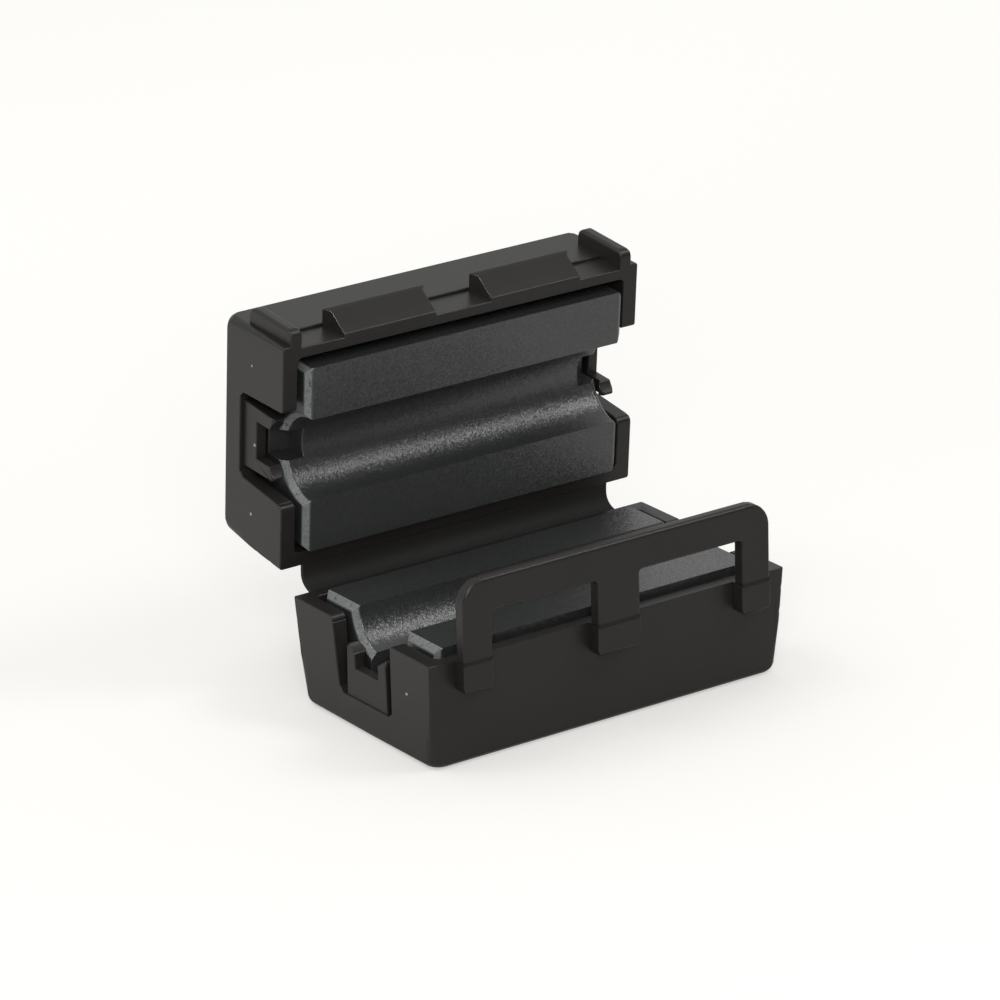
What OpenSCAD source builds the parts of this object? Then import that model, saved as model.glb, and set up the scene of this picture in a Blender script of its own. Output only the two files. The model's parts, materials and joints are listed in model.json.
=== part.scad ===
// Clip-on ferrite bead: a hinged snap case that closes two half cores round a cable.
// The part stands open on its underside, with the cable direction along X, the latch at -Y and
// the living hinge at +Y. All sizes are in millimetres.

/* [Ferrite core] */
// Length of the core along the cable
core_l = 29; // [20:0.1:40]
// Width of the core across the cable
core_w = 15; // [12:0.1:22]
// Height of one half core
core_h = 7.5; // [6.5:0.1:12]
// Diameter of the bore between the two halves
bore_d = 6.6; // [4:0.1:8]
// Chamfer round the ends of each half core
core_chamfer = 0.5; // [0.2:0.05:0.8]
// Width of the key slot in each end of the bore
slot_w = 2.4; // [1:0.1:3.5]
// Length of the key slot along the cable
slot_l = 1.8; // [0.6:0.1:3]
// Depth of the key slot below the bore
slot_d = 1.8; // [0.3:0.1:2.4]

/* [Case] */
// Thickness of the front and back walls at the rim
side_t = 1.1; // [0.8:0.05:1.6]
// Thickness of the end walls at the rim
end_t = 1.3; // [1:0.05:1.8]
// Floor under the lower half core
base_floor_t = 1.5; // [0.8:0.05:2.5]
// Floor over the upper half core
lid_floor_t = 1.25; // [0.8:0.05:2.5]
// Play between the core and each long wall
side_play = 0.45; // [0.1:0.05:0.8]
// Play between the core and each end wall
end_play = 0.35; // [0.3:0.05:1]
// Height of each half core above the rim of its shell
core_stand = 0.5; // [0.2:0.05:1]
// Radius of the four upright corners at the rim
rim_corner_r = 0.3; // [0.1:0.05:0.6]
// Radius of the four upright corners at the foot
foot_corner_r = 0.7; // [0.6:0.05:1.1]
// Radius of the outer bottom edges
edge_r = 0.7; // [0.3:0.05:0.9]
// Inset of each base wall at the bottom, for the mould
base_draft = 0.35; // [0.1:0.05:0.5]
// Inset of each lid wall at the top, for the mould
lid_draft = 0.1; // [0.1:0.05:0.5]
// Radius of the upright corners of the core pockets
pocket_r = 0.4; // [0.2:0.05:1]

/* [Cable openings] */
// Largest cable that passes between the fork arms
cable_d = 6.5; // [4:0.1:8]
// Width of each cable opening at the rim
opening_w = 7.6; // [6.8:0.1:9]
// Depth of each cable opening below the rim
opening_depth = 5.9; // [4.8:0.1:6.2]
// Narrowing of the opening on each side, from the rim to its foot
opening_taper = 0.35; // [0:0.05:0.4]
// Chamfer in the lower corners of the opening
opening_chamfer = 0.4; // [0.1:0.05:0.8]
// Radius of the rim corner of the opening on the hinge side
opening_back_r = 0.5; // [0.2:0.05:1.2]
// Radius of the rim corner of the opening on the latch side
opening_front_r = 0.25; // [0.2:0.05:1.2]
// Width of the forked tongue at its root
fork_root_w = 5.4; // [4.6:0.1:5.8]
// Width of the forked tongue at its tips
fork_tip_w = 5.1; // [4.4:0.1:5.6]
// Thickness of the forked tongue
fork_t = 0.9; // [0.6:0.05:1.2]
// Setback of the tongue behind the end face at the rim
fork_recess = 0.4; // [0.3:0.05:0.6]
// Depth of the fork tips below the rim
fork_tip_depth = 1.75; // [1:0.05:2.5]
// Width of the notch between the fork arms
notch_w = 3; // [2:0.1:3.4]
// Depth of the notch floor below the rim of the base
base_notch_depth = 3.55; // [2.8:0.05:4.4]
// Depth of the notch floor below the rim of the lid
lid_notch_depth = 4.1; // [2.8:0.05:4.4]
// Radius of the fork tips
fork_r = 0.3; // [0.2:0.05:0.5]
// Height of the bevel on the outside of the fork tips
bevel_h = 0.3; // [0.2:0.05:0.9]
// Depth of the bevel on the outside of the fork tips
bevel_d = 0.15; // [0.1:0.05:0.5]
// Reach of the barb that holds the end of the core
barb = 0.3; // [0.1:0.05:0.3]
// Height of the barb
barb_h = 0.9; // [0.4:0.1:1.2]

/* [Latch] */
// Length of the latch bail
bail_l = 27.8; // [24:0.1:29]
// Thickness of the latch bail
bail_t = 1.1; // [0.8:0.05:1.6]
// Gap between the closed lid and the bail
bail_gap = 0.1; // [0.05:0.05:0.3]
// Width of the two outer legs
end_leg_w = 2.55; // [2:0.05:4]
// Width of the middle leg
mid_leg_w = 3.8; // [2.5:0.1:6]
// Height of the two windows above the rim
window_h = 3.6; // [3.2:0.05:4.5]
// Radius of the upper window corners
window_r = 0.3; // [0.1:0.05:0.8]
// Height of the bar over the windows
bar_h = 2.7; // [2:0.05:4]
// Radius of the outer corners of the bail
bail_r = 2; // [1:0.1:2.5]
// Radius along the top edges of the bail
bail_edge_r = 0.35; // [0.1:0.05:0.45]
// Height of the pads that root the legs on the base
pad_h = 2.6; // [1.5:0.1:4]
// Widening of a pad past its leg, on each side
pad_grow = 0.05; // [0:0.05:0.3]
// Radius of the lower pad corners
pad_r = 0.8; // [0.3:0.05:1.2]
// Flat width of the flex line that joins each leg to its pad
crease_w = 0.3; // [0.2:0.05:0.5]
// Slope of the two flanks of the flex line
crease_angle = 10; // [5:1:20]

/* [Lid hooks and rails] */
// Height of the hooks above the front wall of the lid
hook_h = 1.3; // [0.9:0.05:1.4]
// Width of the crest of a hook, next to its catch face
hook_crest = 0.6; // [0.2:0.05:1]
// Fall of the crest over that width
hook_fall = 0.15; // [0:0.05:0.3]
// Gap between the catch face of a hook and each side of its window
hook_side_gap = 0.15; // [0.15:0.05:1.5]
// Narrowing of a hook on each side, from its catch face to its ramp
hook_flank = 0.45; // [0.1:0.05:0.8]
// Play between a hook and the bar when the lid is closed
latch_play = 0.1; // [0.05:0.05:0.2]
// Height of the guide rails above the front wall of the lid
rail_h = 1.25; // [0.6:0.05:1.6]
// Thickness of the guide rails
rail_t = 1; // [0.6:0.05:1.2]
// Distance from the end face to a guide rail
rail_inset = 0.65; // [0.3:0.05:1]
// Distance from the top of the lid to a guide rail
rail_setback = 2.6; // [1.5:0.1:4]
// Radius of the rail corners
rail_r = 0.7; // [0.2:0.05:0.75]
// Radius along the crest of a rail
rail_edge_r = 0.3; // [0.1:0.05:0.3]
// Height of the recessed strip along the rim of the lid
strip_h = 2.7; // [2.6:0.1:3.4]
// Depth of the recessed strip
strip_d = 0.25; // [0.1:0.05:0.4]

/* [Living hinge] */
// Opening angle of the lid as the part stands
open_angle = 84.5; // [45:0.5:120]
// Distance of the hinge line behind the back wall
hinge_back = 1.08; // [0.9:0.02:1.6]
// Height of the hinge line above the base rim
hinge_up = 0.33; // [0.2:0.01:0.6]
// Gap between the two half cores when the lid is closed
core_gap = 0.05; // [0.02:0.01:0.2]
// Thickness of the hinge web
web_t = 0.35; // [0.2:0.05:0.5]
// Drop of the web root below the base rim
web_drop = 0.6; // [0.5:0.05:1]
// Distance from each end face to the web
web_inset = 2.1; // [1:0.05:6]

/* [Hidden] */
$fn = 48;
plastic = [0.13, 0.12, 0.11];
ferrite = [0.22, 0.22, 0.24];
case_l = core_l + 2 * (end_play + end_t);
case_w = core_w + 2 * (side_play + side_t);
base_h = base_floor_t + core_h - core_stand;
lid_h = lid_floor_t + core_h - core_stand;
rim_gap = 2 * core_stand + core_gap;
hinge_y = case_w / 2 + hinge_back;
hinge_z = base_h + hinge_up;
window_w = (bail_l - 2 * end_leg_w - mid_leg_w) / 2;
window_x = (mid_leg_w + window_w) / 2;
end_leg_x = (bail_l - end_leg_w) / 2;
bail_h = window_h + bar_h;
hook_w = window_w - 2 * hook_side_gap;
rail_x = case_l / 2 - rail_inset - rail_t;
catch_depth = window_h - latch_play - rim_gap;
foot_relief = 0.05; // reach of a foot radius past the drafted wall that it rounds
corner_relief = 0.02; // reach of a corner cone past the two walls that it rounds
over = 1; // length that a cutter runs past a face
sink = 0.4; // depth that a moulded detail is rooted in its wall

// Draws its children at both ends or on both sides.
module both(v) {
    children();
    mirror(v) children();
}

// Cutter that leaves a radius on an outer corner; its origin is the centre of the radius.
module rounding(r) {
    difference() {
        square(r + over);
        circle(r);
    }
}

// Prism along Y of a drafted block, as wide as its rim and narrower at its foot.
module drafted_prism(rim, depth, h, draft) {
    rotate([90, 0, 0]) linear_extrude(depth, center = true)
        polygon([[draft - rim / 2, 0], [rim / 2 - draft, 0], [rim / 2, h], [-rim / 2, h]]);
}

// Cutter along +X that rounds the foot of a drafted wall whose rim stands at y = reach.
module foot_cutter(reach, run, draft) {
    translate([0, reach - draft + foot_relief - edge_r, edge_r])
        rotate([90, 0, 90]) linear_extrude(run, center = true)
            mirror([0, 1]) rounding(edge_r);
}

// Cutter for the upright +X +Y corner: a cone that touches both drafted walls and widens downward.
module corner_cutter(l, w, h, draft) {
    slope = draft / h;
    growth = (foot_corner_r - rim_corner_r) / h;
    lean = slope + growth;
    above = rim_corner_r / growth;
    widening = tan(asin(growth / sqrt((2 * lean * lean + 1) * (slope * slope + 1))));
    near = above / 2;
    far = above + h + over;
    translate([l / 2 + slope * above + corner_relief, w / 2 + slope * above + corner_relief, h + above])
        rotate([0, atan(lean * sqrt(2)), 45]) rotate(-45) rotate_extrude(angle = 90)
            polygon([[near * widening, -near], [near * widening + over, -near],
                [far * widening + over, -far], [far * widening, -far]]);
}

// Block that narrows from its rim at the top to its foot, with corners that grow rounder.
module drafted_block(l, w, h, draft) {
    difference() {
        intersection() {
            drafted_prism(l, w, h, draft);
            rotate(90) drafted_prism(w, l, h, draft);
        }
        both([0, 1, 0]) foot_cutter(w / 2, l + over, draft);
        both([1, 0, 0]) rotate(-90) foot_cutter(l / 2, w + over, draft);
        both([1, 0, 0]) both([0, 1, 0]) corner_cutter(l, w, h, draft);
    }
}

// Rectangle with four round corners.
module round_rect(l, w, r) {
    square([l - 2 * r, w], center = true);
    square([l, w - 2 * r], center = true);
    both([1, 0]) both([0, 1]) translate([l / 2 - r, w / 2 - r]) circle(r);
}

// Half outline of a cable opening on the +x side, for a shell of height h.
module half_opening(h, r) {
    foot = h - opening_depth;
    foot_w = opening_w / 2 - opening_taper;
    polygon([[0, foot], [foot_w - opening_chamfer, foot], [foot_w, foot + opening_chamfer],
        [opening_w / 2, h], [opening_w / 2, h + over], [0, h + over]]);
    difference() {
        translate([opening_w / 2 - opening_taper, h - r]) square([r + opening_taper, r + over]);
        translate([opening_w / 2 + r, h - r]) circle(r);
        translate([opening_w / 2 + r, h]) square([over, over]);
    }
}

// Outline of a cable opening, seen along the cable, with the hinge side at +x.
module opening_outline(h) {
    half_opening(h, opening_back_r);
    mirror([1, 0]) half_opening(h, opening_front_r);
}

// Outline of the forked tongue, seen along the cable, with the path of the cable cut clear.
module fork_outline(h, notch_depth) {
    root = h - opening_depth - sink;
    tip = h - fork_tip_depth;
    difference() {
        polygon([[-fork_root_w / 2, root], [fork_root_w / 2, root],
            [fork_tip_w / 2, tip], [-fork_tip_w / 2, tip]]);
        both([1, 0]) translate([fork_tip_w / 2 - fork_r, tip - fork_r]) rounding(fork_r);
        translate([-notch_w / 2, h - notch_depth]) square([notch_w, notch_depth]);
        translate([0, h + core_stand]) circle(cable_d / 2);
    }
}

// Section of the tongue along the cable: bevel outside, barb inside.
module fork_section(h) {
    root = h - opening_depth - sink;
    tip = h - fork_tip_depth;
    outer = case_l / 2 - fork_recess;
    inner = outer - fork_t;
    polygon([[inner, root], [outer, root], [outer, tip - bevel_h], [outer - bevel_d, tip],
        [inner, tip], [inner - barb, tip - barb_h / 2], [inner, tip - barb_h]]);
}

// Forked tongue in the +X end of a shell.
module fork(h, notch_depth) {
    intersection() {
        rotate([90, 0, 90]) linear_extrude(case_l / 2) fork_outline(h, notch_depth);
        rotate([90, 0, 0]) linear_extrude(fork_root_w + over, center = true) fork_section(h);
    }
}

// One shell of the case, foot down, with its pocket, cable openings and forks.
module half_shell(h, draft, floor_t, notch_depth) {
    difference() {
        drafted_block(case_l, case_w, h, draft);
        translate([0, 0, floor_t]) linear_extrude(h)
            round_rect(case_l - 2 * end_t, case_w - 2 * side_t, pocket_r);
        rotate([90, 0, 90]) linear_extrude(case_l + over, center = true) opening_outline(h);
    }
    both([1, 0, 0]) fork(h, notch_depth);
}

// One half core, bore upwards.
module half_core() {
    end = core_l / 2;
    side = core_w / 2;
    c = core_chamfer;
    difference() {
        intersection() {
            rotate([90, 0, 0]) linear_extrude(core_w, center = true)
                polygon([[-end, 0], [end, 0], [end, core_h - c], [end - c, core_h],
                    [c - end, core_h], [-end, core_h - c]]);
            linear_extrude(core_h)
                polygon([[c - end, -side], [end - c, -side], [end, c - side], [end, side - c],
                    [end - c, side], [c - end, side], [-end, side - c], [-end, c - side]]);
        }
        translate([0, 0, core_h]) rotate([0, 90, 0])
            cylinder(d = bore_d, h = core_l + over, center = true);
        both([1, 0, 0]) translate([end - c, 0, core_h]) rotate([0, 90, 0])
            cylinder(r1 = bore_d / 2, r2 = bore_d / 2 + 2 * c, h = 2 * c);
        both([1, 0, 0]) translate([end - slot_l, -slot_w / 2, core_h - bore_d / 2 - slot_d])
            cube([slot_l + over, slot_w, bore_d / 2 + slot_d + over]);
    }
}

// Upright position of the lid: turned open about the hinge line from its closed place.
module opened() {
    translate([0, hinge_y, hinge_z]) rotate([-open_angle, 0, 0])
        translate([0, -hinge_y, -hinge_z]) children();
}

// Places a shell's contents foot up over the base, as in the closed case.
module over_base() {
    translate([0, 0, base_h + rim_gap + lid_h]) mirror([0, 0, 1]) children();
}

// Front view of the bail, from the flex line up.
module bail_outline() {
    difference() {
        translate([-bail_l / 2, 0]) square([bail_l, bail_h]);
        both([1, 0]) translate([bail_l / 2 - bail_r, bail_h - bail_r]) rounding(bail_r);
        both([1, 0]) translate([window_x, window_h / 2 - over])
            round_rect(window_w, window_h + 2 * over, window_r);
    }
}

// Side view of the bail: flex line at the bottom, rounded top edges. Y runs along x here.
module bail_section() {
    inner = -case_w / 2 - bail_gap;
    outer = inner - bail_t;
    rise = (bail_t - crease_w) * tan(crease_angle);
    difference() {
        polygon([[inner, 0], [inner - crease_w, 0], [outer, rise], [outer, bail_h], [inner, bail_h]]);
        translate([inner - bail_edge_r, bail_h - bail_edge_r]) rounding(bail_edge_r);
        translate([outer + bail_edge_r, bail_h - bail_edge_r]) mirror([1, 0]) rounding(bail_edge_r);
    }
}

// Side view of a pad: flex line at the top, rounded lower outer edge.
module pad_section() {
    inner = -case_w / 2 - bail_gap;
    outer = inner - bail_t;
    rise = (bail_t - crease_w) * tan(crease_angle);
    polygon([[-case_w / 2 + sink, 0], [inner - crease_w, 0], [outer, -rise],
        [outer, bail_edge_r - pad_h], [outer + bail_edge_r, -pad_h], [-case_w / 2 + sink, -pad_h]]);
}

// Front view of a pad under a leg of width w.
module pad_outline(w) {
    full = w + 2 * pad_grow;
    difference() {
        translate([-full / 2, -pad_h]) square([full, pad_h]);
        both([1, 0]) translate([full / 2 - pad_r, pad_r - pad_h]) mirror([0, 1]) rounding(pad_r);
    }
}

module pads() {
    translate([0, 0, base_h]) intersection() {
        rotate([90, 0, 0]) linear_extrude(case_w) {
            pad_outline(mid_leg_w);
            both([1, 0]) translate([end_leg_x, 0]) pad_outline(end_leg_w);
        }
        rotate([90, 0, 90]) linear_extrude(case_l, center = true) pad_section();
    }
}

// Side view of a hook: ramp from the lid rim, crest and catch face.
module hook_section() {
    wall = -case_w / 2;
    rim = base_h + rim_gap;
    polygon([[wall + sink, rim], [wall, rim],
        [wall + hook_fall - hook_h, rim + catch_depth - hook_crest],
        [wall - hook_h, rim + catch_depth], [wall + sink, rim + catch_depth]]);
}

// Front view of a hook: full width at the catch face, narrower along the ramp.
module hook_outline() {
    ramp_w = hook_w - 2 * hook_flank;
    rim = base_h + rim_gap;
    polygon([[-ramp_w / 2, rim - over], [ramp_w / 2, rim - over],
        [ramp_w / 2, rim + catch_depth - hook_crest], [hook_w / 2, rim + catch_depth],
        [hook_w / 2, rim + catch_depth + over], [-hook_w / 2, rim + catch_depth + over],
        [-hook_w / 2, rim + catch_depth], [-ramp_w / 2, rim + catch_depth - hook_crest]]);
}

module hook() {
    intersection() {
        rotate([90, 0, 90]) linear_extrude(window_w, center = true) hook_section();
        rotate([90, 0, 0]) linear_extrude(case_w) hook_outline();
    }
}

// Side view of a guide rail.
module rail_section() {
    run = lid_h - rail_setback;
    translate([-case_w / 2 - rail_h, base_h + rim_gap]) difference() {
        square([rail_h + sink, run]);
        translate([rail_r, run - rail_r]) mirror([1, 0]) rounding(rail_r);
        translate([rail_r, rail_r]) rotate(180) rounding(rail_r);
    }
}

// End view of a guide rail, with both crest edges rounded.
module rail_outline() {
    translate([0, -case_w / 2 - rail_h]) difference() {
        square([rail_t, rail_h + over]);
        translate([rail_t - rail_edge_r, rail_edge_r]) mirror([0, 1]) rounding(rail_edge_r);
        translate([rail_edge_r, rail_edge_r]) rotate(180) rounding(rail_edge_r);
    }
}

module rail() {
    intersection() {
        rotate([90, 0, 90]) linear_extrude(rail_t) rail_section();
        linear_extrude(base_h + rim_gap + lid_h) rail_outline();
    }
}

module closed_lid() {
    difference() {
        over_base() half_shell(lid_h, lid_draft, lid_floor_t, lid_notch_depth);
        translate([-rail_x, -case_w / 2 - over, base_h + rim_gap - over])
            cube([2 * rail_x, over + strip_d, strip_h + over]);
    }
    both([1, 0, 0]) {
        translate([window_x, 0, 0]) hook();
        translate([rail_x, 0, 0]) rail();
    }
}

module base_shell() {
    color(plastic) {
        half_shell(base_h, base_draft, base_floor_t, base_notch_depth);
        pads();
    }
}

module latch_bail() {
    color(plastic) translate([0, 0, base_h]) intersection() {
        rotate([90, 0, 0]) linear_extrude(case_w) bail_outline();
        rotate([90, 0, 90]) linear_extrude(bail_l + over, center = true) bail_section();
    }
}

// Curved strip that leaves the back wall of the base and meets the back wall of the lid squarely.
module hinge_web() {
    rise = hinge_up + hinge_back * tan(open_angle / 2);
    web_r = rise + web_drop;
    far = 3 * web_r;
    turn = 90 - open_angle;
    color(plastic) translate([0, case_w / 2, base_h + rise]) rotate([90, 0, 90])
        linear_extrude(case_l - 2 * web_inset, center = true) intersection() {
            difference() {
                circle(web_r + web_t / 2);
                circle(web_r - web_t / 2);
            }
            polygon([[0, 0], [0, -far], [far, -far], [far * cos(turn), far * sin(turn)]]);
        }
}

module lid_shell() {
    color(plastic) opened() closed_lid();
}

module ferrite_base() {
    color(ferrite) translate([0, 0, base_floor_t]) half_core();
}

module ferrite_lid() {
    color(ferrite) opened() over_base() translate([0, 0, lid_floor_t]) half_core();
}

base_shell();
latch_bail();
hinge_web();
lid_shell();
ferrite_base();
ferrite_lid();
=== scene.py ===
"""Clip-on ferrite bead, standing open: finishes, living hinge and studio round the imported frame."""

import json
import math

import bmesh
import bpy
from bpy.props import FloatProperty, FloatVectorProperty, PointerProperty
from mathutils import Matrix, Vector
from mathutils.bvhtree import BVHTree


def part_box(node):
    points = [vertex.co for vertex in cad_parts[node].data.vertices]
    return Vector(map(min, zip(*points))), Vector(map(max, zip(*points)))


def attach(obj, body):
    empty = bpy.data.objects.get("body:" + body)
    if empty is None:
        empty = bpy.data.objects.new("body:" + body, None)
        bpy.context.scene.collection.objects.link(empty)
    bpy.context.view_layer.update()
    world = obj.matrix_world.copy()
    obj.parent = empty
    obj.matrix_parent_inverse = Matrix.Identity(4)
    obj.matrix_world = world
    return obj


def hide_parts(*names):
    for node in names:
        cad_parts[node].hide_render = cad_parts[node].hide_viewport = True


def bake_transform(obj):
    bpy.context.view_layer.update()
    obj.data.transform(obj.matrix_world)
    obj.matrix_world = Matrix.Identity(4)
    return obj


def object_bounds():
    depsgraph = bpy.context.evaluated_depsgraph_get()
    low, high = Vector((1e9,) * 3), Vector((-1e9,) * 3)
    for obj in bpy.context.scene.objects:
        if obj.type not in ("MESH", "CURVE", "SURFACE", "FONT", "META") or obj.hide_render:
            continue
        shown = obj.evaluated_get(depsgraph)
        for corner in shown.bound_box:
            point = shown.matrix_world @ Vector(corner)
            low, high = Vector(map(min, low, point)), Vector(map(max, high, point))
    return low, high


bl_info = {
    "name": "Clip-on ferrite bead",
    "version": (1, 0, 0),
    "blender": (4, 5, 0),
    "location": "3D View > Sidebar > Ferrite bead",
    "description": "Dresses the frame of an open clip-on ferrite bead and sets up its studio",
    "category": "Object",
}

MM = 0.001
SHELLS = {"base_shell": "base", "lid_shell": "lid"}
CORES = {"ferrite_base": "base", "ferrite_lid": "lid"}

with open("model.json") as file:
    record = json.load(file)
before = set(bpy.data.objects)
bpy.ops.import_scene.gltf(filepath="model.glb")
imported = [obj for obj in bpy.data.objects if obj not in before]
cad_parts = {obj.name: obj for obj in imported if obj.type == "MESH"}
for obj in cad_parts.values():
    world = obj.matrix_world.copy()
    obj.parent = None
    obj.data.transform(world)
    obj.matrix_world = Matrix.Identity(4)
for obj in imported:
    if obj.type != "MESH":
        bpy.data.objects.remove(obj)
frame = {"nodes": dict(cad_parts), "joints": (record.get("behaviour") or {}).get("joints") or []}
CAD_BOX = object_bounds()
JOINTS = {joint["name"]: joint for joint in frame["joints"]}
HINGE = Vector(JOINTS["lid_hinge"]["pos_m"])
OPEN_TURN = math.radians(JOINTS["lid_hinge"]["range_deg"][1])
FLEX_AXIS = Vector(JOINTS["latch_flex"]["pos_m"])

# Meshes
MERGE_GAP = 2e-6  # doubles lie closer than this, in metres
FLAT_ANGLE = math.radians(0.6)  # faces that turn by less are one flat face
SHARP_ANGLE = math.radians(25)  # outer edges that turn by more get a radius

# Shells, in mm: half length and half width, then what differs between the two
CASE_HALF = tuple(round(value / MM, 3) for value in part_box("base_shell")[1][:2])
SHELL_FORMS = {
    "base_shell": {"height": 8.5, "draft": 0.35, "front_growth": 1.0},
    "lid_shell": {"height": 8.25, "draft": 0.1, "front_growth": 0.35},
}

# Upright corners of the shells, in mm
FOOT_RADIUS = 0.7  # at the foot, where it is also the radius of the rolled foot edge
RIM_RADIUS = 0.3  # at the rim
ROLL_SHARE = 0.4  # what the corner's radius loses per mm that the foot edge rolls in
ROLL_TOP = 1.0  # height under which the rolled foot corners stay as they are
GROWTH_TOP = 3.6  # height at which the extra radius ends
CORNER_REACH = 1.3  # how far in from the walls a corner reaches
CUT_INSETS = (0.55, 0.75, 0.95, 1.2, 1.5)  # cuts that give the corners vertices to move
CUT_LEVELS = (0.35, 0.7, 1.4, 2.4, GROWTH_TOP)

# Legs of the latch bail, in mm: their widths, then the middle and width of each
BAIL_HALF = round(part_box("latch_bail")[1].x / MM, 3)
SIDE_LEG = 2.55
MIDDLE_LEG = 3.8
LEGS = ((SIDE_LEG / 2 - BAIL_HALF, SIDE_LEG), (0, MIDDLE_LEG), (BAIL_HALF - SIDE_LEG / 2, SIDE_LEG))

# Moulding pips on the left end walls: y and z with the case open, in mm
PIPS = {"base": [(-5.75, 5.35)], "lid": [(14.59, 13.4), (13.56, 25.46), (14.2, 18.93)]}

# Studio, in metres: place and diameter of each lamp, whose power is the setting of its name
LAMPS = (
    ("window", (-0.25, 0.12, 0.5), 0.2),
    ("spark", (-0.3, -0.05, 0.4), 0.05),
    ("softbox", (0.25, -0.19, 0.35), 0.16),
    ("fill", (-0.25, -0.38, 0.24), 0.2),
)
FLOOR_HALF = 3.0
FLOOR_PAINT = (0.5, 0.497, 0.488, 1)
CONTACT_DEPTH = 0.24  # how much of the floor's white the contact shade takes


# Sizes and colours -------------------------------------------------------------------------------


class CaseSettings(bpy.types.PropertyGroup):
    """Moulded plastic of the shells, the latch and the hinge."""

    color: FloatVectorProperty(
        name="Plastic colour", description="Colour of the moulded plastic",
        subtype="COLOR", size=3, min=0, max=1, default=(0.0212, 0.0196, 0.018))
    # pale grey colour of the small pips
    pip_color: FloatVectorProperty(
        name="Pip colour", description="Colour of the pale grey moulding pips",
        subtype="COLOR", size=3, min=0, max=1, default=(0.45, 0.44, 0.42))
    roughness: FloatProperty(
        name="Roughness", description="Roughness of the eroded mould surface",
        min=0.1, max=1, default=0.37)
    hinge_roughness: FloatProperty(
        name="Hinge roughness", description="Roughness of the flexed skin of the living hinge",
        min=0.1, max=1, default=0.75)
    grain: FloatProperty(
        name="Grain size", description="Size of the fine mould texture",
        unit="LENGTH", min=0.00002, max=0.001, default=0.00016)
    edge_radius: FloatProperty(
        name="Edge radius", description="Radius on the moulded edges",
        unit="LENGTH", min=0.00002, max=0.0003, default=0.0001)
    corner_growth: FloatProperty(
        name="Corner growth", description="Extra radius of the upright corners at the foot",
        unit="LENGTH", min=0, max=0.0006, default=0.00045)
    # how far the edges are made lighter: partly rubbing, partly a painted highlight
    wear_and_sheen: FloatProperty(
        name="Edge wear", description="How far the moulded edges are rubbed lighter",
        min=0, max=1, default=0.5)
    bulge: FloatProperty(
        name="Hinge bulge", description="How far the living hinge stands out behind the case",
        unit="LENGTH", min=0, max=0.001, default=0.0003)
    pip: FloatProperty(
        name="Pip size", description="Diameter of the small moulding pips",
        unit="LENGTH", min=0.00005, max=0.0005, default=0.00026)
    latch_radius: FloatProperty(
        name="Latch edge radius", description="Radius on the edges of the latch bail",
        unit="LENGTH", min=0.00002, max=0.0004, default=0.0002)


class CoreSettings(bpy.types.PropertyGroup):
    """Sintered ferrite of the two half cores."""

    color: FloatVectorProperty(
        name="Ferrite colour", description="Colour of the sintered ferrite",
        subtype="COLOR", size=3, min=0, max=1, default=(0.03, 0.0312, 0.0316))
    roughness: FloatProperty(
        name="Roughness", description="Roughness of the as-fired surface",
        min=0.1, max=1, default=0.36)
    index: FloatProperty(
        name="Refractive index", description="Refractive index, which sets the lustre",
        min=1.3, max=3, default=1.8)
    crystal: FloatProperty(
        name="Crystal size", description="Size of the crystals that glint",
        unit="LENGTH", min=0.00002, max=0.001, default=0.0001)
    # the chamfers' lift is partly their paler ground finish and partly a painted highlight for the
    # light they catch
    chamfer_lift: FloatProperty(
        name="Chamfer lift", description="How much paler the ground chamfers are",
        min=1, max=8, default=6)
    glint: FloatProperty(
        name="Glint", description="How far the crystal facets lean out of the surface",
        min=0, max=1, default=0.14)
    sag: FloatProperty(
        name="Sag", description="How far the upper core has settled in the open lid",
        unit="LENGTH", min=0, max=0.0004, default=0.0003)
    edge_radius: FloatProperty(
        name="Edge radius", description="Radius on the tumbled edges",
        unit="LENGTH", min=0.00002, max=0.0003, default=0.00009)


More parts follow.
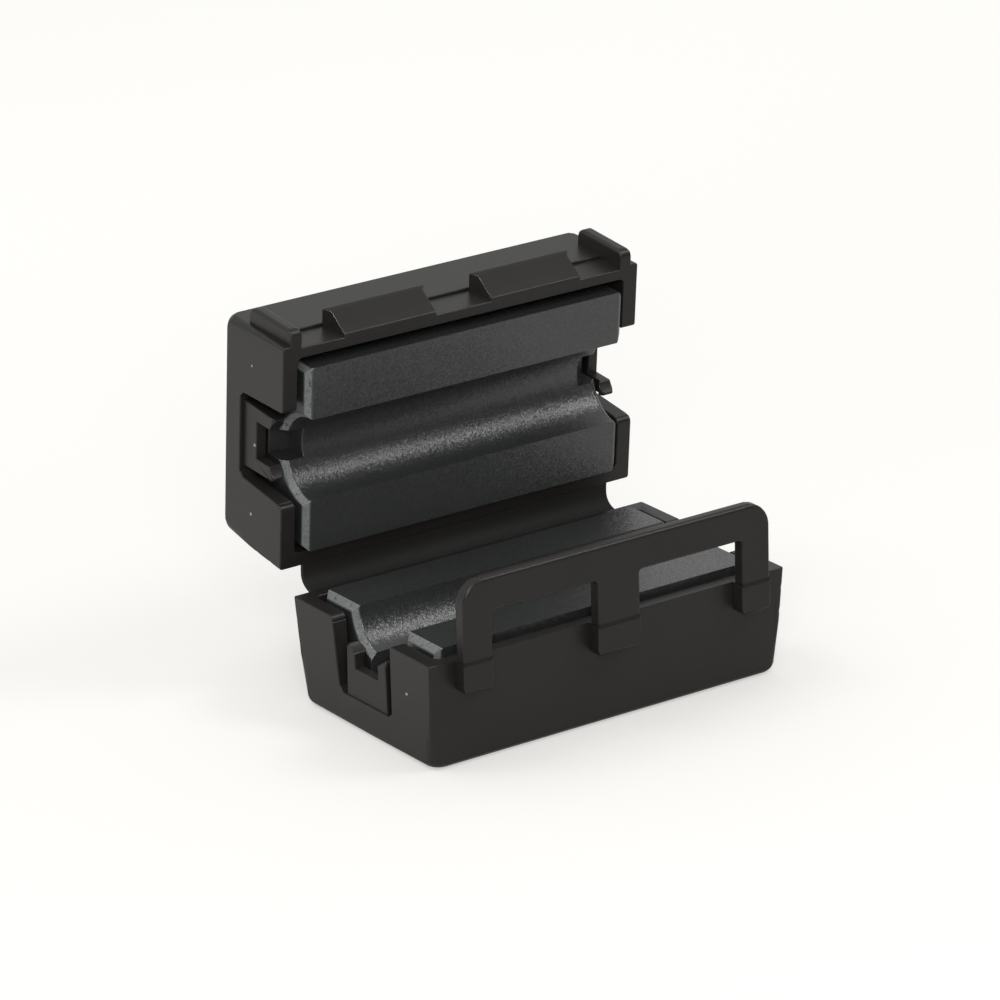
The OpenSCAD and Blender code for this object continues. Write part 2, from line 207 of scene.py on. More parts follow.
class StudioSettings(bpy.types.PropertyGroup):
    """Camera, lamps and floor."""

    camera_place: FloatVectorProperty(
        name="Camera place", description="Position of the camera",
        subtype="TRANSLATION", unit="LENGTH", size=3, default=(-0.22788, -0.32739, 0.16433))
    pan: FloatProperty(
        name="Pan", description="Heading of the camera from +Y towards +X",
        unit="ROTATION", default=math.radians(34.438))
    tilt: FloatProperty(
        name="Tilt", description="How far the camera looks down",
        unit="ROTATION", default=math.radians(20.512))
    roll: FloatProperty(
        name="Roll", description="Turn of the camera about its line of sight",
        unit="ROTATION", default=math.radians(-1.5))
    lens: FloatProperty(
        name="Lens", description="Focal length on a 36 mm wide sensor",
        unit="CAMERA", min=20, default=205.627)
    backdrop: FloatVectorProperty(
        name="Backdrop colour", description="Colour of the floor and the background",
        subtype="COLOR", size=3, min=0, max=1, default=(0.99, 0.982, 0.955))
    window: FloatProperty(
        name="Window power", description="Power of the large soft lamp over the left side",
        unit="POWER", min=0, default=0.32)
    fill: FloatProperty(
        name="Fill power", description="Power of the weak lamp beside the camera",
        unit="POWER", min=0, default=0.9)
    spark: FloatProperty(
        name="Spark power", description="Power of the small lamp that glints on the left edges",
        unit="POWER", min=0, default=0.6)
    softbox: FloatProperty(
        name="Softbox power", description="Power of the small lamp over the right side",
        unit="POWER", min=0, default=0.43)
    back_light: FloatProperty(
        name="Back light", description="Brightness of the room behind the object",
        min=0, max=2, default=0.9)
    top_light: FloatProperty(
        name="Top light", description="Brightness of the room overhead",
        min=0, max=2, default=0.55)
    front_light: FloatProperty(
        name="Front light", description="Brightness of the room on the camera's side",
        min=0, max=2, default=0.06)
    floor_seen: FloatProperty(
        name="Floor fill", description="White that the floor adds to its lit colour in the picture",
        min=0, max=1, default=0.58)
    floor_far: FloatProperty(
        name="Far floor fill", description="White that it adds far behind the object",
        min=0, max=1, default=0.635)
    floor_back: FloatProperty(
        name="Floor gloss behind", description="White that it adds in reflections, behind",
        min=0, max=1, default=0.4)
    floor_front: FloatProperty(
        name="Floor gloss in front", description="White that it adds in reflections, in front",
        min=0, max=1, default=0.16)
    contact: FloatProperty(
        name="Contact shade", description="Reach of the soft shade round the case",
        unit="LENGTH", min=0, default=0.012)


# Node helpers ------------------------------------------------------------------------------------


def add(tree, kind, **settings):
    """Adds a node; settings name its properties, and inputs gives the values of its sockets."""
    made = tree.nodes.new(kind)
    values = settings.pop("inputs", {})
    for key, value in settings.items():
        setattr(made, key, value)
    for socket, value in values.items():
        made.inputs[socket].default_value = value
    return made


def blank_group(name, inputs, outputs):
    """A shader node group with float or vector inputs and outputs, and its two end nodes."""
    tree = bpy.data.node_groups.new(name, "ShaderNodeTree")
    for side, sockets in (("INPUT", inputs), ("OUTPUT", outputs)):
        for label, kind, value in sockets:
            socket = tree.interface.new_socket(name=label, in_out=side, socket_type=kind)
            if value is not None:
                socket.default_value = value
    return tree, tree.nodes.new("NodeGroupInput"), tree.nodes.new("NodeGroupOutput")


def blank_material(name):
    """A material with its Principled shader and its Object coordinates."""
    material = bpy.data.materials.new(name)
    material.use_nodes = True
    tree = material.node_tree
    shader = tree.nodes["Principled BSDF"]
    coordinates = add(tree, "ShaderNodeTexCoord")
    return material, tree, shader, coordinates.outputs["Object"]


def math_node(tree, operation, a, b, c=None):
    """A Math node on sockets or plain numbers; returns its output."""
    made = add(tree, "ShaderNodeMath", operation=operation)
    for slot, value in enumerate((a, b, c)):
        if value is None:
            continue
        if isinstance(value, (int, float)):
            made.inputs[slot].default_value = value
        else:
            tree.links.new(value, made.inputs[slot])
    return made.outputs[0]


def vector_node(tree, operation, a, b=None, scale=None):
    """A Vector Math node on sockets or plain vectors; returns its first output."""
    made = add(tree, "ShaderNodeVectorMath", operation=operation)
    for slot, value in enumerate((a, b)):
        if isinstance(value, tuple):
            made.inputs[slot].default_value = value
        elif value is not None:
            tree.links.new(value, made.inputs[slot])
    if scale is not None:
        tree.links.new(scale, made.inputs["Scale"])
    return made.outputs[0]


def grain_group():
    """Fine grain over a slow drift, shared by the moulded plastic and the sintered ferrite."""
    tree, start, end = blank_group(
        "Surface grain",
        [("Vector", "NodeSocketVector", None), ("Scale", "NodeSocketFloat", 6000.0),
         ("Roughness", "NodeSocketFloat", 0.4), ("Roughness Spread", "NodeSocketFloat", 0.05),
         ("Drift", "NodeSocketFloat", 0.1)],
        [("Height", "NodeSocketFloat", None), ("Roughness", "NodeSocketFloat", None),
         ("Shade", "NodeSocketFloat", None)])
    fine = add(tree, "ShaderNodeTexNoise", inputs={"Detail": 3.0, "Roughness": 0.6})
    slow = add(tree, "ShaderNodeTexNoise", inputs={
        "Scale": 160.0, "Detail": 4.0, "Roughness": 0.55})
    tree.links.new(start.outputs["Vector"], fine.inputs["Vector"])
    tree.links.new(start.outputs["Scale"], fine.inputs["Scale"])
    tree.links.new(start.outputs["Vector"], slow.inputs["Vector"])
    tree.links.new(fine.outputs["Fac"], end.inputs["Height"])
    centred = math_node(tree, "SUBTRACT", fine.outputs["Fac"], 0.5)
    rough = math_node(tree, "MULTIPLY_ADD", centred, start.outputs["Roughness Spread"],
                      start.outputs["Roughness"])
    tree.links.new(rough, end.inputs["Roughness"])
    drift = math_node(tree, "SUBTRACT", slow.outputs["Fac"], 0.5)
    shade = math_node(tree, "MULTIPLY_ADD", drift, start.outputs["Drift"], 1.0)
    tree.links.new(shade, end.inputs["Shade"])
    return tree


def wear_sheen_group():
    """Edge mask for rubbing and a painted highlight: the edge attribute broken up by noise, shared by
    both materials.
    """
    tree, start, end = blank_group(
        "Edge wear",
        [("Vector", "NodeSocketVector", None), ("Scale", "NodeSocketFloat", 1500.0),
         ("Amount", "NodeSocketFloat", 0.5)],
        [("Mask", "NodeSocketFloat", None)])
    edge = add(tree, "ShaderNodeAttribute", attribute_name="edge")
    patches = add(tree, "ShaderNodeTexNoise", inputs={"Detail": 3.0, "Roughness": 0.6})
    tree.links.new(start.outputs["Vector"], patches.inputs["Vector"])
    tree.links.new(start.outputs["Scale"], patches.inputs["Scale"])
    kept = add(tree, "ShaderNodeMapRange", inputs={"From Min": 0.35, "From Max": 0.65})
    tree.links.new(patches.outputs["Fac"], kept.inputs["Value"])
    wear_sheen_mask = math_node(tree, "MULTIPLY", edge.outputs["Fac"], kept.outputs[0])
    wear_sheen_mask = math_node(tree, "MULTIPLY", wear_sheen_mask, start.outputs["Amount"])
    tree.links.new(wear_sheen_mask, end.inputs["Mask"])
    return tree


def shaded(tree, color, shade, shader):
    """Links a colour times a shade value to the shader's base colour."""
    tint = add(tree, "ShaderNodeMix", data_type="RGBA", blend_type="MULTIPLY")
    tint.inputs[0].default_value = 1.0
    tint.inputs["A"].default_value = (*color, 1.0)
    grey = add(tree, "ShaderNodeCombineColor")
    for channel in range(3):
        tree.links.new(shade, grey.inputs[channel])
    tree.links.new(grey.outputs[0], tint.inputs["B"])
    tree.links.new(tint.outputs["Result"], shader.inputs["Base Color"])


def grainy(tree, place, grain, values):
    """Places the surface grain group with its own values; returns its node."""
    made = add(tree, "ShaderNodeGroup", node_tree=grain, inputs=values)
    tree.links.new(place, made.inputs["Vector"])
    return made


def wear_sheen_edges(tree, place, scale, amount):
    """Places the group for rubbed edges with a painted highlight; returns its mask."""
    wear_and_sheen = bpy.data.node_groups.get("Edge wear") or wear_sheen_group()
    edges = add(tree, "ShaderNodeGroup", node_tree=wear_and_sheen, inputs={"Scale": scale, "Amount": amount})
    tree.links.new(place, edges.inputs["Vector"])
    return edges.outputs["Mask"]


def plastic_material(case, grain, name, color, roughness):
    """Satin moulded nylon: eroded grain, slow drift of shade and gloss, glossier edges made lighter
    partly by rubbing and partly as a painted highlight.
    """
    material, tree, shader, place = blank_material(name)
    # edges: lighter, partly for rubbing and partly as a painted highlight, and glossier
    wear_sheen_lift, rub_gloss = 1.6, -0.45
    surface = grainy(tree, place, grain, {
        "Scale": 1 / case.grain, "Roughness": roughness, "Roughness Spread": 0.12, "Drift": 0.35})
    wear_sheen_mask = wear_sheen_edges(tree, place, scale=900.0, amount=case.wear_and_sheen)
    shade = math_node(tree, "MULTIPLY_ADD", wear_sheen_mask, wear_sheen_lift, surface.outputs["Shade"])
    shaded(tree, color, shade, shader)
    rough = math_node(tree, "MULTIPLY_ADD", wear_sheen_mask, rub_gloss, surface.outputs["Roughness"])
    tree.links.new(rough, shader.inputs["Roughness"])
    bump = add(tree, "ShaderNodeBump", inputs={"Strength": 0.25, "Distance": 0.00001})
    tree.links.new(surface.outputs["Height"], bump.inputs["Height"])
    tree.links.new(bump.outputs[0], shader.inputs["Normal"])
    shader.inputs["IOR"].default_value = 1.5
    shader.inputs["Specular IOR Level"].default_value = 0.34
    return material


def ferrite_material(core, grain, name, lift, roughness, pitting):
    """Sintered ferrite: facets that glint, dark pits, a slow drift of shade, and a paler colour on
    the edges and, by its lift, on the chamfers: partly real finish, partly painted highlight.
    """
    material, tree, shader, place = blank_material(name)
    surface = grainy(tree, place, grain, {
        "Scale": 0.5 / core.crystal, "Roughness": roughness, "Roughness Spread": 0.3, "Drift": 0.4})
    crystals = add(tree, "ShaderNodeTexVoronoi", inputs={"Scale": 1 / core.crystal})
    tree.links.new(place, crystals.inputs["Vector"])
    parts = add(tree, "ShaderNodeSeparateColor")
    tree.links.new(crystals.outputs["Color"], parts.inputs[0])
    # edges lighter, partly for tumbling and partly as a painted highlight
    darkest, spread, wear_sheen_lift = 0.75, 0.5, 0.4
    shade = math_node(tree, "MULTIPLY_ADD", parts.outputs[1], spread, darkest)
    shade = math_node(tree, "MULTIPLY", shade, surface.outputs["Shade"])
    wear_sheen_mask = wear_sheen_edges(tree, place, scale=2500.0, amount=0.9)
    shade = math_node(tree, "MULTIPLY_ADD", wear_sheen_mask, wear_sheen_lift, shade)
    pits = add(tree, "ShaderNodeTexNoise", inputs={
        "Scale": 0.25 / core.crystal, "Detail": 4.0, "Roughness": 0.7})
    tree.links.new(place, pits.inputs["Vector"])
    open_pit = add(tree, "ShaderNodeMapRange", inputs={
        "From Min": 0.68 - 0.14 * pitting, "From Max": 0.7 - 0.06 * pitting,
        "To Min": lift, "To Max": lift * (1 - pitting)})
    tree.links.new(pits.outputs["Fac"], open_pit.inputs["Value"])
    shaded(tree, core.color, math_node(tree, "MULTIPLY", shade, open_pit.outputs[0]), shader)
    tree.links.new(surface.outputs["Roughness"], shader.inputs["Roughness"])
    lean = vector_node(tree, "SUBTRACT", crystals.outputs["Color"], (0.5, 0.5, 0.5))
    reach = math_node(tree, "MULTIPLY_ADD", parts.outputs[0], core.glint, core.glint)
    lean = vector_node(tree, "SCALE", lean, scale=reach)
    bump = add(tree, "ShaderNodeBump", inputs={"Strength": 0.4, "Distance": 0.00002})
    tree.links.new(surface.outputs["Height"], bump.inputs["Height"])
    facet = vector_node(tree, "NORMALIZE", vector_node(tree, "ADD", bump.outputs[0], lean))
    tree.links.new(facet, shader.inputs["Normal"])
    shader.inputs["IOR"].default_value = core.index
    return material


def finish_of(name):
    """The material of that name, made on first use."""
    made = bpy.data.materials.get(name)
    if made:
        return made
    scene = bpy.context.scene
    grain = bpy.data.node_groups.get("Surface grain") or grain_group()
    case, core = scene.bead_case, scene.bead_core
    if name == "moulded plastic":
        return plastic_material(case, grain, name, case.color, case.roughness)
    # the hinge and the flex-line skins take 0.65 of the plastic colour: painted shade on the hinge
    # and in the creases
    if name == "flexed plastic":
        painted_shade_color = [0.65 * part for part in case.color]
        return plastic_material(case, grain, name, painted_shade_color, case.hinge_roughness)
    # the pips are a pale grey plastic
    if name == "whitened plastic":
        return plastic_material(case, grain, name, case.pip_color, case.roughness)
    # chamfers: a paler ground finish, lifted further as a painted highlight
    if name == "ground ferrite":
        return ferrite_material(core, grain, name, lift=core.chamfer_lift, roughness=0.6,
                                pitting=0.8)
    return ferrite_material(core, grain, name, lift=1.0, roughness=core.roughness, pitting=0.3)


# Mesh helpers ------------------------------------------------------------------------------------


def placed_object(name, data):
    """An object of a mesh, a lamp or the camera, linked to the scene."""
    made = bpy.data.objects.new(name, data)
    bpy.context.collection.objects.link(made)
    return made


def merged_copy(node):
    """A bmesh of a CAD node with its doubles merged."""
    bm = bmesh.new()
    bm.from_mesh(frame["nodes"][node].data)
    bmesh.ops.remove_doubles(bm, verts=bm.verts, dist=MERGE_GAP)
    return bm


def flat_faced_copy(node):
    """A merged bmesh of a CAD node with the triangles of each flat face joined."""
    bm = merged_copy(node)
    bmesh.ops.dissolve_limit(bm, angle_limit=FLAT_ANGLE, verts=bm.verts, edges=bm.edges)
    return bm


def to_foot(node):
    """Matrix from the open pose to a shell's own frame, foot down at z = 0."""
    if node == "base_shell":
        return Matrix.Identity(4)
    closed = (Matrix.Translation(HINGE) @ Matrix.Rotation(OPEN_TURN, 4, "X")
              @ Matrix.Translation(-HINGE))
    top = max((closed @ vert.co).z for vert in frame["nodes"][node].data.vertices)
    return Matrix.Translation((0, 0, top)) @ Matrix.Diagonal((1, 1, -1, 1)) @ closed


def stays_sharp(node):
    """Tells which edges of a shell get no radius: its rolled foot corners and the flex lines."""
    there = to_foot(node)
    pad_face, pad_top = -CASE_HALF[1] - 0.05, FLEX_AXIS.z / MM - 0.1

    def keep(edge):
        x, y, z = there @ edge.verts[0].co.lerp(edge.verts[1].co, 0.5) / MM
        in_corner = all(abs(value) > half - CORNER_REACH for value, half in zip((x, y), CASE_HALF))
        on_line = node == "base_shell" and y < pad_face and z > pad_top
        return in_corner and z < ROLL_TOP or on_line

    return keep


def cut(bm, axis, place):
    """Cuts a bmesh at a place in mm along an axis, which only adds vertices."""
    point, normal = [0, 0, 0], [0, 0, 0]
    point[axis], normal[axis] = place * MM, 1
    bmesh.ops.bisect_plane(bm, geom=[*bm.verts, *bm.edges, *bm.faces],
                           plane_co=point, plane_no=normal)


def corner_section(form, growth, at_front, z):
    """Radius of an upright corner at a height, and how far its walls have come in, in mm."""
    radius = FOOT_RADIUS + (RIM_RADIUS - FOOT_RADIUS) * z / form["height"]
    radius += growth / MM * (form["front_growth"] if at_front else 1) * (1 - z / GROWTH_TOP)
    rolled_in = 0
    if z < FOOT_RADIUS:
        rolled_in = FOOT_RADIUS - math.sqrt(max(FOOT_RADIUS ** 2 - (FOOT_RADIUS - z) ** 2, 0))
    lean = form["draft"] * (1 - z / form["height"])
    return radius - ROLL_SHARE * rolled_in, lean + rolled_in


def soften_corners(bm, node, growth):
    """Lets the upright corners of a shell grow rounder towards its foot."""
    there = to_foot(node)
    bm.transform(there)
    for axis, half in enumerate(CASE_HALF):
        for inset in CUT_INSETS:
            for side in (-1, 1):
                cut(bm, axis, side * (half - inset))
    for level in CUT_LEVELS:
        cut(bm, 2, level)
    for vert in bm.verts:
        x, y, z = vert.co / MM
        on_pad = abs(y) > CASE_HALF[1] + 0.01
        if z > GROWTH_TOP or on_pad:
            continue
        radius, come_in = corner_section(SHELL_FORMS[node], growth, y < 0, z)
        reach = [abs(value) - (half - come_in - radius)
                 for value, half in zip((x, y), CASE_HALF)]
        length = math.hypot(*reach)
        if min(reach) <= 0 or length <= radius:
            continue
        for axis, value in enumerate((x, y)):
            moved = abs(value) - reach[axis] * (1 - radius / length)
            vert.co[axis] = math.copysign(moved * MM, value)
    bmesh.ops.dissolve_limit(bm, angle_limit=math.radians(0.05), verts=bm.verts, edges=bm.edges)
    bm.transform(there.inverted())


def rounded_copy(node, name, radius, segments=2, keep=None):
    """A copy of a CAD node with a small radius on its outer edges and an edge attribute.
    Edges for which keep is true stay sharp."""
    bm = flat_faced_copy(node)
    rolled = bm.faces.layers.int.new("rolled")
    layer = bm.verts.layers.float.new("edge")
    edges = [e for e in bm.edges
             if len(e.link_faces) == 2 and e.calc_face_angle_signed(0) > SHARP_ANGLE
             and not (keep and keep(e))]
    made = bmesh.ops.bevel(bm, geom=edges, offset=radius, offset_type="OFFSET",
                           segments=segments, profile=0.5, affect="EDGES", clamp_overlap=False)
    for face in made["faces"]:
        face[rolled] = 1
    for vert in bm.verts:
        vert[layer] = float(bool(vert.link_faces) and all(f[rolled] for f in vert.link_faces))
    if node in SHELL_FORMS:
        soften_corners(bm, node, bpy.context.scene.bead_case.corner_growth)
    return finished_mesh(bm, name, rolled)


def corner_normals(bm, rolled):
    """Normals per corner: flat faces stay flat and a rolled edge leans on the faces it joins."""
    bm.normal_update()
    normals = []
    for face in bm.faces:
        bend = math.cos(SHARP_ANGLE * (2 if face[rolled] else 1))
        for vert in face.verts:
            near = [f for f in vert.link_faces if f.normal.dot(face.normal) > bend]
            near = [f for f in near if not f[rolled]] or near or [face]
            normals.append(sum((f.normal * f.calc_area() for f in near), Vector()).normalized())
    return normals


def finished_mesh(bm, name, rolled):
    """Turns a bmesh into a smooth shaded object with its normals set corner by corner."""
    mesh = bpy.data.meshes.new(name)
    for face in bm.faces:
        face.smooth = True
    normals = corner_normals(bm, rolled)
    bm.to_mesh(mesh)
    bm.free()
    mesh.normals_split_custom_set(normals)
    return placed_object(name, mesh)


def dressed(node, name, body, material, radius, segments=2, keep=None):
    """Stands a rounded copy for a CAD node, in its finish, on its body."""
    piece = rounded_copy(node, name, radius, segments, keep)
    piece.data.materials.clear()
    piece.data.materials.append(finish_of(material))
    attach(piece, body)
    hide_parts(node)
    return piece


def plain_piece(bm, name, material):
    """Turns a bmesh into an object with one material."""
    mesh = bpy.data.meshes.new(name)
    bm.to_mesh(mesh)
    bm.free()
    mesh.materials.clear()
    mesh.materials.append(finish_of(material))
    return placed_object(name, mesh)


def slab(bm, corners, low, high):
    """A closed prism: a YZ outline run along X from low to high."""
    ends = [[bm.verts.new((x, y, z)) for y, z in corners] for x in (low, high)]
    count = len(corners)
    faces = [ends[0][::-1], ends[1]]
    faces += [(ends[0][i], ends[0][(i + 1) % count], ends[1][(i + 1) % count], ends[1][i])
              for i in range(count)]
    for face in faces:
        bm.faces.new(face)
    bmesh.ops.recalc_face_normals(bm, faces=bm.faces)


def pip_tree(material):
    """Geometry Nodes: a flattened ball on each point, realised and given its material."""
    tree = bpy.data.node_groups.new("Moulding pips", "GeometryNodeTree")
    tree.is_modifier = True
    face = tree.interface
    face.new_socket(name="Points", in_out="INPUT", socket_type="NodeSocketGeometry")
    face.new_socket(name="Diameter", in_out="INPUT", socket_type="NodeSocketFloat")
    face.new_socket(name="Stand", in_out="INPUT", socket_type="NodeSocketFloat")
    face.new_socket(name="Seed", in_out="INPUT", socket_type="NodeSocketInt")
    face.new_socket(name="Pips", in_out="OUTPUT", socket_type="NodeSocketGeometry")
    start, end = add(tree, "NodeGroupInput"), add(tree, "NodeGroupOutput")
    ball = add(tree, "GeometryNodeMeshUVSphere", inputs={"Segments": 14, "Rings": 8})
    radius = math_node(tree, "MULTIPLY", start.outputs["Diameter"], 0.5)
    tree.links.new(radius, ball.inputs["Radius"])
    smallest, largest = 0.75, 1.1
    spread = add(tree, "FunctionNodeRandomValue", data_type="FLOAT",
                 inputs={2: smallest, 3: largest})
    tree.links.new(start.outputs["Seed"], spread.inputs["Seed"])
    scale = add(tree, "ShaderNodeCombineXYZ")
    flat = math_node(tree, "MULTIPLY", spread.outputs[1], start.outputs["Stand"])
    for slot, value in enumerate((flat, spread.outputs[1], spread.outputs[1])):
        tree.links.new(value, scale.inputs[slot])
    placed = add(tree, "GeometryNodeInstanceOnPoints")
    tree.links.new(start.outputs["Points"], placed.inputs["Points"])
    tree.links.new(ball.outputs["Mesh"], placed.inputs["Instance"])
    tree.links.new(scale.outputs[0], placed.inputs["Scale"])
    real = add(tree, "GeometryNodeRealizeInstances")
    tree.links.new(placed.outputs[0], real.inputs[0])
    smooth = add(tree, "GeometryNodeSetShadeSmooth")
    tree.links.new(real.outputs[0], smooth.inputs[0])
    finish = add(tree, "GeometryNodeSetMaterial")
    finish.inputs["Material"].default_value = material
    tree.links.new(smooth.outputs[0], finish.inputs["Geometry"])
    tree.links.new(finish.outputs[0], end.inputs[0])
    return tree


def run_tree(tree, name, points, values):
    """Runs a tree on loose points and returns the result as a plain mesh object."""
    source = bpy.data.meshes.new(name + "_points")
    source.from_pydata(points, [], [])
    carrier = placed_object(name + "_carrier", source)
    modifier = carrier.modifiers.new("Nodes", "NODES")
    modifier.node_group = tree
    for item in tree.interface.items_tree:
        if item.in_out == "INPUT" and item.name in values:
            modifier[item.identifier] = values[item.name]
    bpy.context.view_layer.update()
    graph = bpy.context.evaluated_depsgraph_get()
    mesh = bpy.data.meshes.new_from_object(carrier.evaluated_get(graph), depsgraph=graph)
    bpy.data.objects.remove(carrier)
    bpy.data.meshes.remove(source)
    mesh.name = name
    return placed_object(name, mesh)


# Operators ---------------------------------------------------------------------------------------


class BEAD_OT_shells(bpy.types.Operator):
    """Dress the base and lid shells of the case"""

    bl_idname = "bead.shells"
    bl_label = "Case shells"

    def execute(self, context):
        for node, body in SHELLS.items():
            dressed(node, body + "_case", body, "moulded plastic",
                    context.scene.bead_case.edge_radius, keep=stays_sharp(node))
        return {"FINISHED"}


class BEAD_OT_latch(bpy.types.Operator):
    """Dress the latch bail on the front of the base"""

    bl_idname = "bead.latch"
    bl_label = "Latch bail"

    def execute(self, context):
        foot_top = FLEX_AXIS.z + 0.2 * MM  # edges under it meet the flex lines and stay sharp
        dressed("latch_bail", "latch", "latch", "moulded plastic",
                context.scene.bead_case.latch_radius, segments=3,
                keep=lambda edge: max(vert.co.z for vert in edge.verts) < foot_top)
        self.flex_lines()
        return {"FINISHED"}

    def flex_lines(self):
        """Thin skins in the flex lines, in the shaded plastic: a painted shade line along each
        crease.
        """
        axis, line = FLEX_AXIS.yz
        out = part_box("latch_bail")[0].y + 0.015 * MM
        inner, outer, bend, clear = 0.02 * MM, 0.15 * MM, 0.1 * MM, 0.05 * MM
        corners = [(axis, line - inner), (out, line - outer),
                   (out, line + outer), (axis, line + inner)]
        bm = bmesh.new()
        for middle, width in LEGS:
            half = width / 2 * MM - clear
            slab(bm, corners, middle * MM - half, middle * MM + half)
        # the skins take the shaded plastic: a painted shade line along each crease
        piece = plain_piece(bm, "flex_lines", "flexed plastic")
        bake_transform(piece)


class BEAD_OT_cores(bpy.types.Operator):
    """Dress the two ferrite half cores"""

    bl_idname = "bead.cores"
    bl_label = "Ferrite cores"

    @staticmethod
    def runs_along(edge):
        """True for the long edges, which stay sharp as they were pressed."""
        start, end = (vert.co for vert in edge.verts)
        return abs((end - start).normalized().x) > 0.99

    @staticmethod
    def is_chamfer(face):
        """True for the ground chamfers, which lean by 45 degrees out of the end faces."""
        return 0.6 < abs(face.normal.x) < 0.8

    def execute(self, context):
        core = context.scene.bead_core
        for node, body in CORES.items():
            piece = dressed(node, body + "_core", body, "sintered ferrite",
                            core.edge_radius, keep=self.runs_along)
            piece.data.materials.append(finish_of("ground ferrite"))
            for face in piece.data.polygons:
                face.material_index = int(self.is_chamfer(face))
            if body == "lid":
                piece.data.transform(Matrix.Translation((core.sag / 2, 0, -core.sag)))
        return {"FINISHED"}


class BEAD_OT_web(bpy.types.Operator):
    """Make the living hinge that bends between the base and the lid"""

    bl_idname = "bead.web"
    bl_label = "Living hinge"

    def execute(self, context):
        low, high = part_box("hinge_web")
        towards_base = 0.6  # under 1, the fullest part of the bend lies nearer to the base
        bm = merged_copy("hinge_web")
        for vert in bm.verts:
            share = (vert.co.z - low.z) / (high.z - low.z)
            share = min(max(share, 0), 1) ** towards_base
            vert.co.y += context.scene.bead_case.bulge * math.sin(math.pi * share) ** 2
        # the hinge strip takes the shaded plastic: painted shade
        piece = plain_piece(bm, "hinge_strip", "flexed plastic")
        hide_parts("hinge_web")
        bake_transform(piece)
        return {"FINISHED"}


class BEAD_OT_pips(bpy.types.Operator):
    """Set the small moulding pips on the left end walls"""

    bl_idname = "bead.pips"
    bl_label = "Moulding pips"

    def execute(self, context):
        tree = pip_tree(finish_of("whitened plastic"))
        size = context.scene.bead_case.pip
        outside = 2 * CAD_BOX[0].x
        for body, places in PIPS.items():
            bm = flat_faced_copy(body + "_shell")
            wall = BVHTree.FromBMesh(bm)
            bm.free()
            points = []
            for y, z in places:
                hit = wall.ray_cast(Vector((outside, y * MM, z * MM)), Vector((1, 0, 0)))[0]
                if hit is None:
                    raise RuntimeError("no wall behind a pip of the " + body)
                points.append(hit)
            piece = run_tree(tree, body + "_pips", points,
                             {"Diameter": size, "Stand": 0.6, "Seed": 4})
            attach(piece, body)
        return {"FINISHED"}


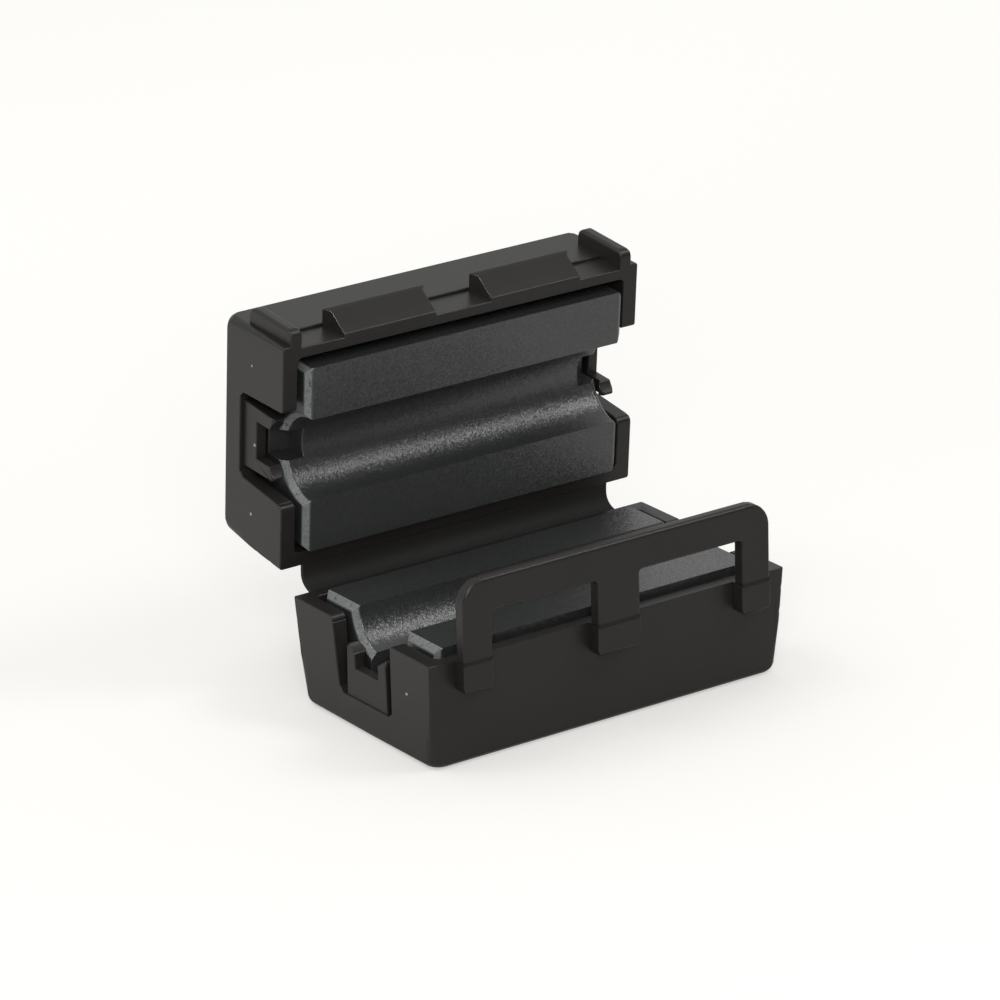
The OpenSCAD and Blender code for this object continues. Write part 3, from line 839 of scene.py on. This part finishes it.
class BEAD_OT_studio(bpy.types.Operator):
    """Set up the camera, the lamps, the floor and the background"""

    bl_idname = "bead.studio"
    bl_label = "Studio"

    def camera(self, context):
        """The camera, from its place, heading, tilt and roll."""
        studio = context.scene.bead_studio
        pan, tilt, roll = studio.pan, studio.tilt, studio.roll
        ahead = Vector((math.sin(pan) * math.cos(tilt), math.cos(pan) * math.cos(tilt),
                        -math.sin(tilt)))
        across = Vector((math.cos(pan), -math.sin(pan), 0))
        up = across.cross(ahead)
        right = math.cos(roll) * across + math.sin(roll) * up
        above = math.cos(roll) * up - math.sin(roll) * across
        lens = bpy.data.cameras.new("camera")
        lens.lens = studio.lens
        lens.sensor_width = 36
        lens.clip_start, lens.clip_end = 0.01, 20
        made = placed_object("camera", lens)
        axes = Matrix((right, above, -ahead)).transposed()
        made.matrix_world = Matrix.Translation(studio.camera_place) @ axes.to_4x4()
        context.scene.camera = made

    def lamp(self, name, place, size, power):
        """A round lamp aimed at the case; the spark only glints and adds no diffuse light."""
        light = bpy.data.lights.new(name, "AREA")
        light.shape = "DISK"
        light.size = size
        light.energy = power
        made = placed_object(name, light)
        made.visible_diffuse = name != "spark"
        made.location = place
        aim = Vector((0, 0, 10 * MM)) - made.location
        made.rotation_euler = aim.to_track_quat("-Z", "Y").to_euler()

    def background(self, context):
        """White for the camera; a room that is bright behind the object for everything else."""
        studio = context.scene.bead_studio
        world = bpy.data.worlds.new("studio")
        context.scene.world = world
        world.use_nodes = True
        tree = world.node_tree
        tree.nodes.clear()
        seen = add(tree, "ShaderNodeBackground", inputs={"Color": (*studio.backdrop, 1)})
        room = add(tree, "ShaderNodeBackground")
        towards = add(tree, "ShaderNodeSeparateXYZ")
        tree.links.new(add(tree, "ShaderNodeTexCoord").outputs["Generated"], towards.inputs[0])
        front = add(tree, "ShaderNodeMapRange", interpolation_type="SMOOTHSTEP", inputs={
            "From Min": 0.15, "From Max": 0.8, "To Min": studio.front_light,
            "To Max": studio.top_light})
        tree.links.new(towards.outputs["Z"], front.inputs["Value"])
        behind = add(tree, "ShaderNodeMapRange", interpolation_type="SMOOTHSTEP", inputs={
            "From Min": -0.15, "From Max": 0.6})
        tree.links.new(towards.outputs["Y"], behind.inputs["Value"])
        level = add(tree, "ShaderNodeMix", data_type="FLOAT")
        tree.links.new(behind.outputs[0], level.inputs[0])
        tree.links.new(front.outputs[0], level.inputs[2])
        level.inputs[3].default_value = studio.back_light
        tree.links.new(level.outputs[0], room.inputs["Strength"])
        mix = add(tree, "ShaderNodeMixShader")
        tree.links.new(add(tree, "ShaderNodeLightPath").outputs["Is Camera Ray"], mix.inputs[0])
        tree.links.new(room.outputs[0], mix.inputs[1])
        tree.links.new(seen.outputs[0], mix.inputs[2])
        tree.links.new(mix.outputs[0], add(tree, "ShaderNodeOutputWorld").inputs[0])

    def floor(self, context):
        """A pale matt floor that adds white for the camera and in reflections."""
        studio = context.scene.bead_studio
        mesh = bpy.data.meshes.new("floor")
        corners = [(side * FLOOR_HALF, depth * FLOOR_HALF, 0)
                   for side, depth in ((-1, -1), (1, -1), (1, 1), (-1, 1))]
        mesh.from_pydata(corners, [], [(0, 1, 2, 3)])
        made = placed_object("floor", mesh)
        material, tree, shader, place = blank_material("white floor")
        shader.inputs["Base Color"].default_value = FLOOR_PAINT
        shader.inputs["Roughness"].default_value = 0.9
        shader.inputs["Specular IOR Level"].default_value = 0.0
        contact = add(tree, "ShaderNodeAmbientOcclusion", samples=8,
                      inputs={"Distance": studio.contact})
        along = add(tree, "ShaderNodeSeparateXYZ")
        tree.links.new(place, along.inputs[0])
        gloss = add(tree, "ShaderNodeMapRange", interpolation_type="SMOOTHSTEP", inputs={
            "From Min": -0.05, "From Max": 0.05, "To Min": studio.floor_front,
            "To Max": studio.floor_back})
        tree.links.new(along.outputs["Y"], gloss.inputs["Value"])
        white = add(tree, "ShaderNodeMapRange", interpolation_type="SMOOTHSTEP", inputs={
            "From Min": 0.02, "From Max": 0.15, "To Min": studio.floor_seen,
            "To Max": studio.floor_far})
        tree.links.new(along.outputs["Y"], white.inputs["Value"])
        path = add(tree, "ShaderNodeLightPath")
        shown = math_node(tree, "MULTIPLY", path.outputs["Is Camera Ray"], white.outputs[0])
        glossy = math_node(tree, "MULTIPLY", path.outputs["Is Glossy Ray"], gloss.outputs[0])
        clear = math_node(tree, "MULTIPLY", path.outputs["Is Transmission Ray"], studio.floor_seen)
        share = math_node(tree, "MAXIMUM", math_node(tree, "MAXIMUM", shown, glossy), clear)
        glow = add(tree, "ShaderNodeEmission", inputs={"Color": (*studio.backdrop, 1)})
        shade = math_node(tree, "MULTIPLY_ADD", contact.outputs["AO"], CONTACT_DEPTH,
                          1 - CONTACT_DEPTH)
        tree.links.new(math_node(tree, "MULTIPLY", share, shade), glow.inputs["Strength"])
        both = add(tree, "ShaderNodeAddShader")
        tree.links.new(shader.outputs[0], both.inputs[0])
        tree.links.new(glow.outputs[0], both.inputs[1])
        tree.links.new(both.outputs[0], tree.nodes["Material Output"].inputs[0])
        mesh.materials.append(material)

    def execute(self, context):
        context.scene.view_settings.view_transform = "Standard"
        self.camera(context)
        self.background(context)
        self.floor(context)
        for name, place, size in LAMPS:
            self.lamp(name, place, size, getattr(context.scene.bead_studio, name))
        return {"FINISHED"}


class BEAD_PT_panel(bpy.types.Panel):
    """Panel with the bead's operators and settings"""

    bl_label = "Ferrite bead"
    bl_idname = "BEAD_PT_panel"
    bl_space_type = "VIEW_3D"
    bl_region_type = "UI"
    bl_category = "Ferrite bead"

    def draw(self, context):
        for label, group, steps in PANEL_ROWS:
            box = self.layout.box()
            box.label(text=label)
            settings = getattr(context.scene, group)
            for key in settings.bl_rna.properties.keys():
                if key not in ("rna_type", "name"):
                    box.prop(settings, key)
            for step in steps:
                box.operator(step)


PANEL_ROWS = (
    ("Case", "bead_case", ("bead.shells", "bead.latch", "bead.web", "bead.pips")),
    ("Cores", "bead_core", ("bead.cores",)),
    ("Studio", "bead_studio", ("bead.studio",)),
)
SETTINGS = {"bead_case": CaseSettings, "bead_core": CoreSettings, "bead_studio": StudioSettings}
CLASSES = (*SETTINGS.values(), BEAD_OT_shells, BEAD_OT_latch, BEAD_OT_cores, BEAD_OT_web,
           BEAD_OT_pips, BEAD_OT_studio, BEAD_PT_panel)


def register():
    for item in CLASSES:
        bpy.utils.register_class(item)
    for name, group in SETTINGS.items():
        setattr(bpy.types.Scene, name, PointerProperty(type=group))


def unregister():
    for name in SETTINGS:
        delattr(bpy.types.Scene, name)
    for item in reversed(CLASSES):
        bpy.utils.unregister_class(item)


def main():
    register()
    bpy.ops.bead.studio()
    bpy.ops.bead.shells()
    bpy.ops.bead.latch()
    bpy.ops.bead.cores()
    bpy.ops.bead.web()
    bpy.ops.bead.pips()


if __name__ == "__main__":
    main()
